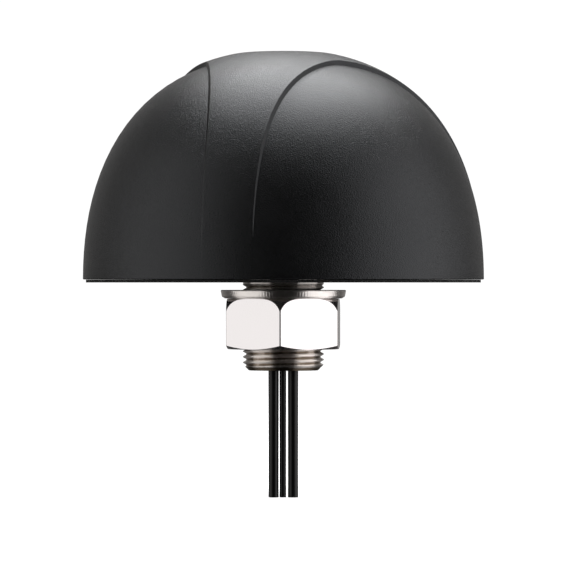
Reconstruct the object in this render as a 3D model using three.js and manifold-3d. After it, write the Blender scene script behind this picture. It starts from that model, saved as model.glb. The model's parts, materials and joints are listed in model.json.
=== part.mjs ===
// A dome-shaped GNSS receiver head with two cellular elements. It clamps through a panel by a hollow
// M22 stud, a lock washer and a hex nut, and three coaxial cables leave through the stud.
// Millimetres, +Z up. The origin is on the stud axis, at the height of the lower ends of the cables.
// Inside the assembly group, z = 0 is the mounting plane: the underside of the foam gasket.
import * as THREE from 'three';
import { mergeVertices } from 'three/addons/utils/BufferGeometryUtils.js';
import Module from 'manifold-3d';

const wasm = await Module();
wasm.setup();

// ---------------------------------------------------------------- driving dimensions
const MOUNT_PLANE_Z = 58; // height of the mounting plane above the cable ends
const RIM_RADIUS = 54.2; // radome radius at its foot
const CROWN_HEIGHT = 62.2; // flat top of the radome above the mounting plane
const GASKET_THICKNESS = 0.8;
const GASKET_RADIUS = 53.3;
const GASKET_INNER_RADIUS = 18;
const WALL = 2.4; // radome wall thickness
const THREAD_RADIUS = 10.95; // M22 x 1.5
const THREAD_DEPTH = 0.9;
const PITCH = 1.5;
const THREAD_PHASE = 0.2; // height of a crest where the thread crosses the XZ plane
const STUD_LENGTH = 23.7; // below the mounting plane
const STUD_BORE_RADIUS = 7;
const PANEL_GAP = 2; // thickness of the panel that is clamped
const WASHER_RADIUS = 16.9;
const WASHER_BORE = THREAD_RADIUS + 0.55;
const WASHER_THICKNESS = 2.3;
const WASHER_EDGE = 0.35;
const NUT_ACROSS_FLATS = 30;
const NUT_HEIGHT = 13.65;
const NUT_TURN = THREE.MathUtils.degToRad(27);
const NUT_SHOULDER = 4.7; // height of the rounding towards the washer
const NUT_CHAMFER = 1.1; // height of the chamfer towards the cables
const NUT_CLEARANCE = 0.05; // between the washer and the nut
const PIVOT_Z = -37; // where the free part of each cable bends
const PIVOT_GAP = 0.3; // between a fixed cable and its free part
const CABLES = {
  cell_main: { x: -2.65, radius: 1.4, side: -1 },
  gnss: { x: -0.15, radius: 0.9, side: 0 },
  cell_aux: { x: 2.6, radius: 1.4, side: 1 },
};

// The raised shell and the three lower petals are surfaces of revolution with superelliptic profiles.
const SHELL = { radius: RIM_RADIUS, height: CROWN_HEIGHT + 0.65, m: 2.2, n: 2.44 };
const PETAL = { radius: RIM_RADIUS - 0.1, height: CROWN_HEIGHT - 1.2, m: 2.43, n: 2.23 };
const CAVITY = { radius: PETAL.radius - WALL, height: PETAL.height - WALL, m: 2.43, n: 2.23 };
const PETAL_COUNT = 3;
const PETAL_AXIS = THREE.MathUtils.degToRad(-45.9); // direction of the first petal, from +X
const PETAL_APEX = 21.6; // distance of a petal's inner end from the axis
const PETAL_APEX_ROUND = 2; // how far across the petal its rounded inner end reaches
const PETAL_SLOPE = 0.175; // lean of the nearly straight edges that follow
const PETAL_BOW = 3.89; // how far the edges have bent outwards at PETAL_BOW_AT
const PETAL_BOW_AT = 43;
const PETAL_BOW_POWER = 3.5;
const PETAL_HALF_WIDTH = 46; // beyond the radome's foot

const BASE_BOTTOM = GASKET_THICKNESS;
const BASE_THICKNESS = 3;
const BASE_TOP = BASE_BOTTOM + BASE_THICKNESS;
const BASE_RADIUS = CAVITY.radius - 0.6;
const SEAL_GROOVE_DEPTH = 1.5;
const SEAL_SECTION = 1.1;
const STUD_SEAL_THICKNESS = 0.8;
const FLANGE_BOTTOM = BASE_TOP + STUD_SEAL_THICKNESS;
const FLANGE_THICKNESS = 2.8;
const FLANGE_TOP = FLANGE_BOTTOM + FLANGE_THICKNESS;
const FLANGE_RADIUS = 17;
const FLANGE_SCREW_CIRCLE = 14.2;
const BASE_SCREW_CIRCLE = 45;
const BASE_SCREW_COUNT = 6;
const BOSS_RADIUS = 3.4;
const BOSS_TOP = 11;
const GROUND_BOTTOM = 12;
const GROUND_THICKNESS = 1;
const GROUND_TOP = GROUND_BOTTOM + GROUND_THICKNESS;
const GROUND_RADIUS = 43;
const STANDOFF_CIRCLE = 38;
const BOARD_BOTTOM = 31; // underside of the amplifier board
const BOARD_THICKNESS = 1.6;
const BOARD_TOP = BOARD_BOTTOM + BOARD_THICKNESS;
const PATCH_SIDE = 25;
const PATCH_THICKNESS = 4;
const PATCH_TOP = BOARD_TOP + PATCH_THICKNESS;
const FEED_PIN = { x: 2, y: 2.5, radius: 0.5 };
const BLADE_X = 27;
const BLADE_THICKNESS = 1;
const BLADE_TAB = 2.8; // half width of the tab through the ground plate
const BLADE_TAB_BOTTOM = 8.4;
const BLADE_SEAT = GROUND_TOP + 1; // floor of the holder that carries a blade
const LEAD_RUN_Z = 9.6; // height of the cables under the ground plate
const LEAD_REACH = BLADE_X - 3; // where those cables end, next to a blade
const GNSS_LEAD_Y = -10; // where the middle cable meets the amplifier board
const HOLE_SLACK = 0.1; // radial clearance of a screw or pin in its hole
const SCREW_SHANK = 1.15;
const SCREW_HEAD = 2.5;
const SCREW_SIDES = 8; // facets of a screw and of its hole

const assembly = new THREE.Group();
assembly.position.z = MOUNT_PLANE_Z;
const receiver = new THREE.Group();
receiver.add(assembly);

// ---------------------------------------------------------------- materials
const finish = (color, roughness, metalness) => (
  new THREE.MeshStandardMaterial({ color, roughness, metalness }));
const blackShell = finish(0x1b1b1c, 0.62, 0);
const darkPlastic = finish(0x232325, 0.7, 0);
const paleNylon = finish(0xd8d4c6, 0.6, 0);
const foam = finish(0x141414, 0.95, 0);
const rubber = finish(0x19191a, 0.85, 0);
const nickel = finish(0xbdb6ae, 0.22, 1);
const zincSteel = finish(0xa9abad, 0.35, 1);
const aluminium = finish(0xb9bcbf, 0.4, 1);
const brass = finish(0xb89550, 0.35, 1);
const circuitBoard = finish(0x1d5a3a, 0.5, 0);
const copper = finish(0xb46a42, 0.35, 1);
const ceramic = finish(0xcfc7b4, 0.55, 0);
const silver = finish(0xc9c9c6, 0.3, 1);
const cableJacket = finish(0x0f0f10, 0.35, 0);
const cableBraid = finish(0x9a9a98, 0.45, 1);
const cableDielectric = finish(0xe9e6de, 0.5, 0);

// ---------------------------------------------------------------- helpers
function place(name, geometry, material, x = 0, y = 0, z = 0) {
  const mesh = new THREE.Mesh(geometry, material);
  mesh.name = name;
  mesh.position.set(x, y, z);
  assembly.add(mesh);
}

// Points of [radius, z], anticlockwise with the radius to the right, turned about the Z axis.
function revolve(profile, segments) {
  const points = profile.map(([r, z]) => new THREE.Vector2(r, z));
  const [first, last] = [points[0], points[points.length - 1]];
  if (first.x > 0 || last.x > 0) points.push(first.clone());
  return new THREE.LatheGeometry(points, segments).rotateX(Math.PI / 2);
}

function ring(inner, outer, bottom, top, segments) {
  return revolve([[inner, bottom], [outer, bottom], [outer, top], [inner, top]], segments);
}

function rod(radius, bottom, top, segments) {
  return revolve([[0, bottom], [radius, bottom], [radius, top], [0, top]], segments);
}

function block(width, depth, bottom, top) {
  return new THREE.BoxGeometry(width, depth, top - bottom).translate(0, 0, (top + bottom) / 2);
}

function at(geometry, x, y, z = 0) {
  return geometry.clone().translate(x, y, z);
}

// A closed triangle mesh as a solid that can be joined and cut.
function solid(geometry) {
  const bare = geometry.clone();
  bare.deleteAttribute('normal');
  bare.deleteAttribute('uv');
  const merged = mergeVertices(bare, 1e-4);
  const index = merged.index.array;
  const corners = [];
  for (let i = 0; i < index.length; i += 3) {
    const [a, b, c] = [index[i], index[i + 1], index[i + 2]];
    if (a !== b && b !== c && c !== a) corners.push(a, b, c);
  }
  return new wasm.Manifold(new wasm.Mesh({
    numProp: 3,
    vertProperties: Float32Array.from(merged.attributes.position.array),
    triVerts: Uint32Array.from(corners),
  }));
}

function geometryOf(manifold) {
  const mesh = manifold.getMesh();
  const geometry = new THREE.BufferGeometry();
  geometry.setAttribute('position', new THREE.BufferAttribute(mesh.vertProperties, mesh.numProp));
  geometry.setIndex(new THREE.BufferAttribute(mesh.triVerts, 1));
  return geometry;
}

function cut(body, tools) {
  return tools.reduce((left, tool) => left.subtract(solid(tool)), body);
}

// Centres of count points on a circle, as [x, y, angle].
function around(count, radius, start = 0) {
  return Array.from({ length: count }, (_, i) => {
    const angle = start + (i * 2 * Math.PI) / count;
    return [radius * Math.cos(angle), radius * Math.sin(angle), angle];
  });
}

// Superellipse (r/radius)^m + (z/height)^n = 1, from z = bottom up to a flat top.
function domeProfile({ radius, height, m, n }, bottom, steps, top = height) {
  const [start, end] = [bottom, top].map((z) => Math.asin((z / height) ** (n / 2)));
  const profile = [[0, bottom]];
  for (let i = 0; i < steps; i += 1) {
    const angle = start + ((end - start) * i) / steps;
    profile.push([radius * Math.cos(angle) ** (2 / m), height * Math.sin(angle) ** (2 / n)]);
  }
  if (top < height) profile.push([radius * Math.cos(end) ** (2 / m), top]);
  profile.push([0, top]);
  return profile;
}

// A pan-head screw along Z: shank from bottom up to the head, head up to top.
function screw(shankEnd, headStart, headEnd) {
  const headEdge = headEnd + (headStart - headEnd) * 0.35;
  const profile = [
    [0, shankEnd], [SCREW_SHANK, shankEnd], [SCREW_SHANK, headStart], [SCREW_HEAD, headStart],
    [SCREW_HEAD, headEdge], [SCREW_HEAD * 0.8, headEnd], [0, headEnd],
  ];
  if (shankEnd < headEnd) return revolve(profile, SCREW_SIDES);
  return revolve(profile.reverse(), SCREW_SIDES);
}

// ---------------------------------------------------------------- thread
// A rod with a right-hand thread of 60 degree flanks. All threads share one phase, so a nut cut with a
// slightly larger rod fits the stud.
const CREST_FLAT = 0.19;
const FLANK_RUN = Math.tan(Math.PI / 6);

function threadedRod(crestRadius, rootRadius, bottom, top, columns) {
  const run = (crestRadius - rootRadius) * FLANK_RUN;
  const section = [
    [rootRadius, -CREST_FLAT / 2 - run], [crestRadius, -CREST_FLAT / 2],
    [crestRadius, CREST_FLAT / 2], [rootRadius, CREST_FLAT / 2 + run],
  ];
  const size = section.length;
  const firstTurn = Math.floor(bottom / PITCH) - 2;
  const turns = Math.ceil(top / PITCH) + 2 - firstTurn;
  const rows = turns * size;
  const positions = [];
  const column = [];
  for (let i = 0; i < columns; i += 1) {
    column.push(positions.length / 3);
    const angle = (2 * Math.PI * i) / columns;
    for (let j = 0; j < rows + (i === 0 ? size : 0); j += 1) {
      const [radius, offset] = section[j % size];
      const z = PITCH * (firstTurn + Math.floor(j / size) + i / columns) + THREAD_PHASE + offset;
      positions.push(radius * Math.cos(angle), radius * Math.sin(angle), z);
    }
  }
  const vertex = (i, j) => (i < columns ? column[i] + j : column[0] + j + size);
  const index = [];
  for (let i = 0; i < columns; i += 1) {
    for (let j = 0; j + 1 < rows; j += 1) {
      const [a, b, c, d] = [vertex(i, j), vertex(i + 1, j), vertex(i + 1, j + 1), vertex(i, j + 1)];
      index.push(a, b, c, a, c, d);
    }
  }
  const lowLoop = [];
  const highLoop = [];
  for (let i = 0; i <= columns; i += 1) {
    lowLoop.push(vertex(i, 0));
    highLoop.push(vertex(columns - i, rows - 1));
  }
  for (let j = size - 1; j > 0; j -= 1) lowLoop.push(vertex(0, j));
  for (let j = 0; j < size - 1; j += 1) highLoop.push(vertex(0, rows + j));
  for (const loop of [lowLoop, highLoop]) {
    const centre = positions.length / 3;
    const ends = [positions[loop[0] * 3 + 2], positions[loop[columns] * 3 + 2]];
    positions.push(0, 0, (ends[0] + ends[1]) / 2);
    loop.forEach((from, k) => index.push(centre, loop[(k + 1) % loop.length], from));
  }
  const geometry = new THREE.BufferGeometry();
  geometry.setAttribute('position', new THREE.Float32BufferAttribute(positions, 3));
  geometry.setIndex(index);
  return solid(geometry).intersect(solid(rod(crestRadius + 1, bottom, top, 8)));
}

// ---------------------------------------------------------------- radome and base
const SHELL_SEGMENTS = 56;
const RING_SEGMENTS = 48;

// Distance of a petal's edge from the stud axis, measured along the petal's direction.
function petalLine(across) {
  const straight = PETAL_SLOPE * (Math.hypot(across, PETAL_APEX_ROUND) - PETAL_APEX_ROUND);
  return PETAL_APEX + straight + PETAL_BOW * (Math.abs(across) / PETAL_BOW_AT) ** PETAL_BOW_POWER;
}

// Everything outside one petal's curved inner edge, as a tall block along +X.
function petalBlock() {
  const steps = 18;
  const outline = new THREE.Shape();
  outline.moveTo(RIM_RADIUS * 2, -PETAL_HALF_WIDTH);
  outline.lineTo(RIM_RADIUS * 2, PETAL_HALF_WIDTH);
  for (let i = 0; i <= steps; i += 1) {
    const across = PETAL_HALF_WIDTH * (1 - (2 * i) / steps);
    outline.lineTo(petalLine(across), across);
  }
  outline.closePath();
  return new THREE.ExtrudeGeometry(outline, { depth: CROWN_HEIGHT + 10, bevelEnabled: false });
}

function buildRadome() {
  const foot = BASE_BOTTOM;
  const rows = 10;
  const shell = solid(revolve(domeProfile(SHELL, foot, rows, CROWN_HEIGHT), SHELL_SEGMENTS));
  const petal = solid(revolve(domeProfile(PETAL, foot, rows), SHELL_SEGMENTS));
  let outside = shell;
  for (const [, , angle] of around(PETAL_COUNT, 1, PETAL_AXIS)) {
    const region = solid(petalBlock().rotateZ(angle));
    outside = outside.subtract(region.subtract(petal));
  }
  const cavity = solid(revolve(domeProfile(CAVITY, foot - 0.5, 8), RING_SEGMENTS));
  let body = outside.subtract(cavity);
  for (const [x, y, angle] of around(BASE_SCREW_COUNT, BASE_SCREW_CIRCLE)) {
    const reach = CAVITY.radius + 1 - BASE_SCREW_CIRCLE;
    const web = block(reach, 2.4, BASE_TOP, BOSS_TOP).translate(reach / 2, 0, 0).rotateZ(angle);
    const boss = solid(at(rod(BOSS_RADIUS, BASE_TOP, BOSS_TOP, 16), x, y)).add(solid(at(web, x, y)));
    body = body.add(boss.intersect(outside));
    const pilot = rod(SCREW_SHANK + HOLE_SLACK, BASE_TOP - 1, BOSS_TOP - 0.6, SCREW_SIDES);
    body = body.subtract(solid(at(pilot, x, y)));
  }
  place('radome', geometryOf(body), blackShell);
}

function buildBase() {
  const grooveBottom = BASE_BOTTOM + 1;
  const grooveTop = BASE_TOP - 0.6;
  const grooveRadius = BASE_RADIUS - SEAL_GROOVE_DEPTH;
  const profile = [
    [THREAD_RADIUS + 0.35, BASE_BOTTOM], [BASE_RADIUS, BASE_BOTTOM], [BASE_RADIUS, grooveBottom],
    [grooveRadius, grooveBottom], [grooveRadius, grooveTop], [BASE_RADIUS, grooveTop],
    [BASE_RADIUS, BASE_TOP], [THREAD_RADIUS + 0.35, BASE_TOP],
  ];
  const tools = [];
  for (const [x, y] of around(BASE_SCREW_COUNT, BASE_SCREW_CIRCLE)) {
    tools.push(at(rod(SCREW_SHANK + 0.35, BASE_BOTTOM - 1, BASE_TOP + 1, SCREW_SIDES), x, y));
    tools.push(at(rod(SCREW_HEAD + 0.4, BASE_BOTTOM - 1, BASE_BOTTOM + 1.7, SCREW_SIDES), x, y));
  }
  for (const [x, y] of around(3, FLANGE_SCREW_CIRCLE, Math.PI / 2)) {
    tools.push(at(rod(SCREW_SHANK + HOLE_SLACK, BASE_BOTTOM + 0.5, BASE_TOP + 1, SCREW_SIDES), x, y));
  }
  for (const [x, y] of around(3, STANDOFF_CIRCLE, Math.PI / 2)) {
    tools.push(at(rod(1.6, BASE_BOTTOM + 1, BASE_TOP + 1, SCREW_SIDES), x, y));
  }
  place('base_plate', geometryOf(cut(solid(revolve(profile, RING_SEGMENTS)), tools)), darkPlastic);
  place('foam_gasket', ring(GASKET_INNER_RADIUS, GASKET_RADIUS, 0, GASKET_THICKNESS, SHELL_SEGMENTS), foam);

  const middle = (grooveBottom + grooveTop) / 2;
  const half = (grooveTop - grooveBottom) / 2 - 0.05;
  const inner = grooveRadius + 0.1;
  const [near, far] = [inner + SEAL_SECTION * 0.5, inner + SEAL_SECTION * 1.4];
  place('radome_seal', revolve([
    [inner, middle - half * 0.5], [near, middle - half], [far, middle - half], [CAVITY.radius - 0.25, middle],
    [far, middle + half], [near, middle + half], [inner, middle + half * 0.5],
  ], RING_SEGMENTS), rubber);
  around(BASE_SCREW_COUNT, BASE_SCREW_CIRCLE).forEach(([x, y], i) => {
    place(`base_screw_${i + 1}`, screw(BOSS_TOP - 1, BASE_BOTTOM + 1.65, BASE_BOTTOM + 0.1), zincSteel, x, y);
  });
}

// ---------------------------------------------------------------- stud, washer and nut
const STUD_COLUMNS = 18;
const CHAMFER = 1.6;

function buildStud() {
  const threadTop = -0.4;
  const rootRadius = THREAD_RADIUS - THREAD_DEPTH;
  const thread = threadedRod(THREAD_RADIUS, rootRadius, -STUD_LENGTH, threadTop, STUD_COLUMNS);
  const envelope = solid(revolve([
    [0, -STUD_LENGTH], [THREAD_RADIUS - CHAMFER, -STUD_LENGTH],
    [THREAD_RADIUS + 0.4, -STUD_LENGTH + CHAMFER + 0.4], [THREAD_RADIUS + 0.4, threadTop], [0, threadTop],
  ], STUD_COLUMNS));
  const neck = solid(rod(THREAD_RADIUS - 0.05, threadTop, FLANGE_BOTTOM, STUD_COLUMNS));
  const flange = solid(rod(FLANGE_RADIUS, FLANGE_BOTTOM, FLANGE_TOP, 36));
  const bore = revolve([
    [0, -STUD_LENGTH - 1], [STUD_BORE_RADIUS + 1.8, -STUD_LENGTH - 1], [STUD_BORE_RADIUS, -STUD_LENGTH + 0.8],
    [STUD_BORE_RADIUS, FLANGE_TOP - 0.8], [STUD_BORE_RADIUS + 1.8, FLANGE_TOP + 1], [0, FLANGE_TOP + 1],
  ], 24);
  const holes = around(3, FLANGE_SCREW_CIRCLE, Math.PI / 2).map(([x, y]) => (
    at(rod(SCREW_SHANK + 0.2, FLANGE_BOTTOM - 1, FLANGE_TOP + 1, SCREW_SIDES), x, y)));
  const body = thread.intersect(envelope).add(neck).add(flange);
  place('threaded_stud', geometryOf(cut(body, [bore, ...holes])), nickel);

  const seal = solid(ring(THREAD_RADIUS + 0.35, FLANGE_RADIUS, BASE_TOP, FLANGE_BOTTOM, 36));
  const sealHoles = around(3, FLANGE_SCREW_CIRCLE, Math.PI / 2).map(([x, y]) => (
    at(rod(SCREW_SHANK + 0.2, BASE_TOP - 1, FLANGE_BOTTOM + 1, SCREW_SIDES), x, y)));
  place('stud_seal', geometryOf(cut(seal, sealHoles)), rubber);
  around(3, FLANGE_SCREW_CIRCLE, Math.PI / 2).forEach(([x, y], i) => {
    place(`stud_screw_${i + 1}`, screw(BASE_BOTTOM + 0.8, FLANGE_TOP, FLANGE_TOP + 1.5), zincSteel, x, y);
  });
}

function buildWasher() {
  const top = -PANEL_GAP;
  const bottom = top - WASHER_THICKNESS;
  place('lock_washer', revolve([
    [WASHER_BORE, bottom], [WASHER_RADIUS - WASHER_EDGE, bottom], [WASHER_RADIUS, top - WASHER_EDGE * 1.6],
    [WASHER_RADIUS - WASHER_EDGE, top], [WASHER_BORE, top],
  ], RING_SEGMENTS), nickel);
}

function buildNut() {
  const top = -PANEL_GAP - WASHER_THICKNESS - NUT_CLEARANCE;
  const bottom = top - NUT_HEIGHT;
  const flat = NUT_ACROSS_FLATS / 2;
  const corner = flat / Math.cos(Math.PI / 6);
  const prism = solid(rod(corner, bottom, top, 6).rotateZ(NUT_TURN + Math.PI / 2));
  const land = flat - 0.1; // radius of the flat ring on each end
  const reach = corner + 0.1 - land;
  const steps = 5;
  const shoulder = Array.from({ length: steps + 1 }, (_, i) => {
    const turn = (Math.PI / 2) * (1 - i / steps);
    return [land + reach * Math.sin(turn), top - NUT_SHOULDER * (1 - Math.cos(turn))];
  });
  const envelope = solid(revolve([
    [0, bottom], [land, bottom], [corner + 0.1, bottom + NUT_CHAMFER], ...shoulder, [0, top],
  ], 36));
  const rootRadius = THREAD_RADIUS - THREAD_DEPTH + 0.4;
  const hole = threadedRod(THREAD_RADIUS + 0.3, rootRadius, bottom - 1, top + 1, STUD_COLUMNS);
  const lead = [[bottom, 1], [top, -1]].map(([face, up]) => {
    const inside = face + 1.3 * up;
    const cone = [
      [0, face - up], [THREAD_RADIUS + 1.7, face - up], [THREAD_RADIUS - 0.6, inside], [0, inside],
    ];
    return revolve(up > 0 ? cone : cone.reverse(), STUD_COLUMNS);
  });
  place('hex_nut', geometryOf(cut(prism.intersect(envelope).subtract(hole), lead)), nickel);
}

// ---------------------------------------------------------------- inside the dome
function buildGroundPlate() {
  const tools = [rod(9, GROUND_BOTTOM - 1, GROUND_TOP + 1, 24)];
  for (const [x, y] of around(3, STANDOFF_CIRCLE, Math.PI / 2)) {
    tools.push(at(rod(SCREW_SHANK + 0.3, GROUND_BOTTOM - 1, GROUND_TOP + 1, SCREW_SIDES), x, y));
  }
  for (const side of [-1, 1]) {
    tools.push(at(block(BLADE_THICKNESS + 0.8, 7, GROUND_BOTTOM - 1, GROUND_TOP + 1), side * BLADE_X, 0));
  }
  const plate = cut(solid(rod(GROUND_RADIUS, GROUND_BOTTOM, GROUND_TOP, 48)), tools);
  place('ground_plate', geometryOf(plate), aluminium);

  const spigot = solid(rod(1.5, BASE_BOTTOM + 1.2, BASE_TOP + 1, SCREW_SIDES));
  const pillar = solid(rod(3, BASE_TOP, GROUND_BOTTOM, 6)).add(spigot);
  const tapped = rod(SCREW_SHANK + HOLE_SLACK, BASE_TOP + 1.5, GROUND_BOTTOM + 1, SCREW_SIDES);
  const standoff = geometryOf(cut(pillar, [tapped]));
  around(3, STANDOFF_CIRCLE, Math.PI / 2).forEach(([x, y], i) => {
    place(`standoff_${i + 1}`, standoff, brass, x, y);
    place(`ground_screw_${i + 1}`, screw(BASE_TOP + 3, GROUND_TOP, GROUND_TOP + 1.5), zincSteel, x, y);
  });
}

const PEDESTAL = { bore: 12.5, radius: 14.5, footRadius: 18, footThickness: 1.6 };
const PEDESTAL_WINDOW = { width: 9, inset: 4 };
const BOARD_SIDE = 34;
const ELECTRODE_SIDE = 21.5;
const SHIELD = { width: 16, depth: 12, height: 2.8, wall: 0.3 };
const FILTER = { side: 3.8, height: 1.3, x: -3.5 };
const CHIP = { side: 2, height: 0.8, x: 5.5 };

// A pierced plastic tube that carries the amplifier board.
function buildPedestal() {
  const { bore, radius, footRadius, footThickness } = PEDESTAL;
  const column = solid(ring(bore, radius, GROUND_TOP, BOARD_BOTTOM, 24));
  const foot = solid(ring(bore, footRadius, GROUND_TOP, GROUND_TOP + footThickness, 24));
  const { width, inset } = PEDESTAL_WINDOW;
  const windows = around(3, (bore + radius) / 2, Math.PI / 6).map(([x, y, angle]) => (
    at(block(6, width, GROUND_TOP + inset, BOARD_BOTTOM - inset).rotateZ(angle), x, y)));
  place('patch_pedestal', geometryOf(cut(column.add(foot), windows)), paleNylon);
}

// A square plate with a hole for the feed pin.
function pinnedPlate(name, side, bottom, top, material) {
  const hole = rod(FEED_PIN.radius + HOLE_SLACK, bottom - 1, top + 1, 8);
  const plate = cut(solid(block(side, side, bottom, top)), [at(hole, FEED_PIN.x, FEED_PIN.y)]);
  place(name, geometryOf(plate), material);
}

function buildSatelliteElement() {
  pinnedPlate('amplifier_board', BOARD_SIDE, BOARD_BOTTOM, BOARD_TOP, circuitBoard);
  pinnedPlate('patch_antenna', PATCH_SIDE, BOARD_TOP, PATCH_TOP, ceramic);
  pinnedPlate('patch_electrode', ELECTRODE_SIDE, PATCH_TOP, PATCH_TOP + 0.1, silver);
  const pin = revolve([
    [0, BOARD_BOTTOM - 0.6], [FEED_PIN.radius, BOARD_BOTTOM - 0.6], [FEED_PIN.radius, PATCH_TOP + 0.12],
    [1.3, PATCH_TOP + 0.12], [1.1, PATCH_TOP + 0.5], [0, PATCH_TOP + 0.6],
  ], 8);
  place('patch_feed_pin', pin, brass, FEED_PIN.x, FEED_PIN.y);

  const { width, depth, height, wall } = SHIELD;
  const canBottom = BOARD_BOTTOM - height;
  const inside = block(width - 2 * wall, depth - 2 * wall, canBottom + wall, BOARD_BOTTOM + 1);
  const can = cut(solid(block(width, depth, canBottom, BOARD_BOTTOM)), [inside]);
  place('amplifier_shield', geometryOf(can), zincSteel, 0, FEED_PIN.y);
  const parts = [['band_filter', FILTER, ceramic], ['amplifier_chip', CHIP, darkPlastic]];
  for (const [name, part, material] of parts) {
    const body = block(part.side, part.side, BOARD_BOTTOM - part.height, BOARD_BOTTOM);
    place(name, body, material, part.x, FEED_PIN.y);
  }
}

// An upright circuit board with a tab through the ground plate and a copper radiator on its outer face.
function bladeOutline(width, height) {
  const tab = BLADE_TAB;
  const outline = new THREE.Shape();
  const shoulder = 4;
  outline.moveTo(-tab, BLADE_TAB_BOTTOM);
  outline.lineTo(tab, BLADE_TAB_BOTTOM);
  outline.lineTo(tab, BLADE_SEAT + 0.05);
  outline.lineTo(width / 2, BLADE_SEAT + 0.05);
  outline.lineTo(width / 2, height - shoulder);
  outline.lineTo(width / 2 - shoulder, height);
  outline.lineTo(-width / 2 + shoulder, height);
  outline.lineTo(-width / 2, height - shoulder);
  outline.lineTo(-width / 2, BLADE_SEAT + 0.05);
  outline.lineTo(-tab, BLADE_SEAT + 0.05);
  outline.closePath();
  return outline;
}

function radiatorOutline(width, height) {
  const outline = new THREE.Shape();
  const low = GROUND_TOP + 5;
  const edge = width / 2 - 1.5;
  outline.moveTo(-1, low);
  outline.lineTo(1, low);
  outline.lineTo(1, low + 5);
  outline.lineTo(edge, low + 9);
  outline.lineTo(edge, height - 6);
  outline.lineTo(-edge + 5, height - 6);
  outline.lineTo(-edge + 5, low + 16);
  outline.lineTo(-edge + 3, low + 16);
  outline.lineTo(-edge + 3, height - 4);
  outline.lineTo(-edge, height - 5);
  outline.lineTo(-edge, low + 9);
  outline.lineTo(-1, low + 5);
  outline.closePath();
  return outline;
}

// Turns an outline drawn in (y, z) into a plate that stands across the X axis.
function standing(outline, thickness) {
  const plate = new THREE.ExtrudeGeometry(outline, { depth: thickness, bevelEnabled: false });
  return plate.translate(0, 0, -thickness / 2).rotateX(Math.PI / 2).rotateZ(Math.PI / 2);
}

const HOLDER = { width: 4.6, depth: 12, height: 4 };

function buildCellElement(name, side, width, height) {
  const x = side * BLADE_X;
  const traceThickness = 0.1;
  place(`${name}_blade`, standing(bladeOutline(width, height), BLADE_THICKNESS), circuitBoard, x);
  const traceX = x + side * (BLADE_THICKNESS / 2 + traceThickness / 2 + 0.01);
  place(`${name}_radiator`, standing(radiatorOutline(width, height), traceThickness), copper, traceX);
  const holderTop = GROUND_TOP + HOLDER.height;
  const slotWidth = BLADE_THICKNESS + 0.4;
  const slot = block(slotWidth, 20, BLADE_SEAT, holderTop + 1);
  const tabHole = block(slotWidth, 2 * BLADE_TAB + 0.6, GROUND_TOP - 1, BLADE_SEAT + 1);
  const holder = cut(solid(block(HOLDER.width, HOLDER.depth, GROUND_TOP, holderTop)), [slot, tabHole]);
  place(`${name}_holder`, geometryOf(holder), paleNylon, x);
}

// ---------------------------------------------------------------- cables
// A round cable along a chain of points whose corners are rounded.
function cablePath(points, bend) {
  const path = new THREE.CurvePath();
  let from = points[0];
  for (let i = 1; i < points.length - 1; i += 1) {
    const before = points[i].clone().lerp(points[i - 1], bend / points[i].distanceTo(points[i - 1]));
    const after = points[i].clone().lerp(points[i + 1], bend / points[i].distanceTo(points[i + 1]));
    path.add(new THREE.LineCurve3(from, before));
    path.add(new THREE.QuadraticBezierCurve3(before, points[i], after));
    from = after;
  }
  path.add(new THREE.LineCurve3(from, points[points.length - 1]));
  return path;
}

function circleShape(radius) {
  const shape = new THREE.Shape();
  shape.absarc(0, 0, radius, 0, 2 * Math.PI, false);
  return shape;
}

// halfSides facets go round each half of the cable.
function tubeAlong(points, radius, bend, steps, halfSides) {
  const extrudePath = cablePath(points, bend);
  const options = { steps, curveSegments: halfSides, extrudePath, bevelEnabled: false };
  return new THREE.ExtrudeGeometry(circleShape(radius), options);
}

// One layer of a free cable: its top follows a ball about the pivot, so it can swing under the fixed cable.
function tailLayer(inner, outer, ball, segments) {
  const rise = (r) => Math.sqrt(Math.max(0, ball * ball - r * r));
  const bottom = -MOUNT_PLANE_Z - PIVOT_Z;
  const profile = [[inner, bottom], [outer, bottom], [outer, rise(outer)]];
  if (outer - inner > ball * 0.15) profile.push([(inner + outer) / 2, rise((inner + outer) / 2)]);
  profile.push([inner, rise(inner)]);
  return revolve(profile, segments);
}

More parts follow.
